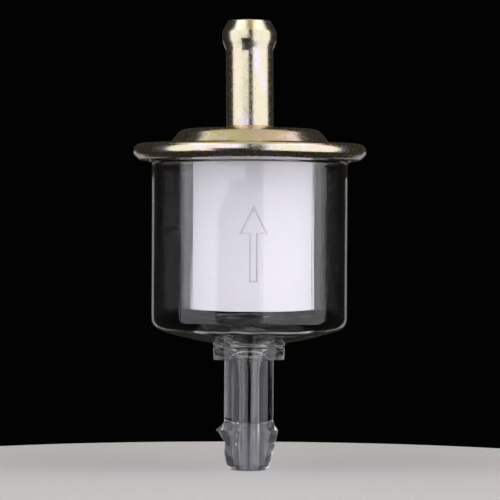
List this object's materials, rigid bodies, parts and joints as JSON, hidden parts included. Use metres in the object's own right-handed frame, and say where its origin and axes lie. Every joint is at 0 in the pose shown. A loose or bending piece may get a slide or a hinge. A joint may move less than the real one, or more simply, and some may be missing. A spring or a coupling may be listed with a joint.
{
  "type": "inline fuel filter",
  "caption": "Inline fuel filter: clear bowl crimped into a yellow zinc plated steel cap, white filter element inside, and a barbed hose nipple at each end.",
  "frame": {"origin": "centre of the inlet nipple's open end, the lowest point of the filter", "axes": "+Z along the filter's axis in the direction of flow, from the inlet nipple to the outlet nipple; -Y is the side with the flow arrow; +X is to the right when looking at the arrow"},
  "size_m": [0.042, 0.042, 0.0809],
  "materials": {
    "yellow_zinc_steel": "yellow chromate over bright zinc, glossy with faint pink and green iridescence",
    "braze": "braze filler under the same plating, satin",
    "clear_plastic": "clear moulded nylon, glossy, faint flow streaks",
    "white_media": "matt white filter medium, fine fibrous grain",
    "white_plastic": "natural white moulded plastic",
    "black_rubber": "fuel resistant rubber, matt"
  },
  "bodies": {
    "root": {"cap": "yellow_zinc_steel", "outlet_nipple": "yellow_zinc_steel", "nipple_braze_ring": "braze", "bowl": "clear_plastic", "cap_gasket": "black_rubber", "filter_media": "white_media", "media_core": "white_plastic", "media_end_plug": "white_plastic", "media_top_ring": "white_plastic", "element_seal": "black_rubber"}
  },
  "joints": []
}
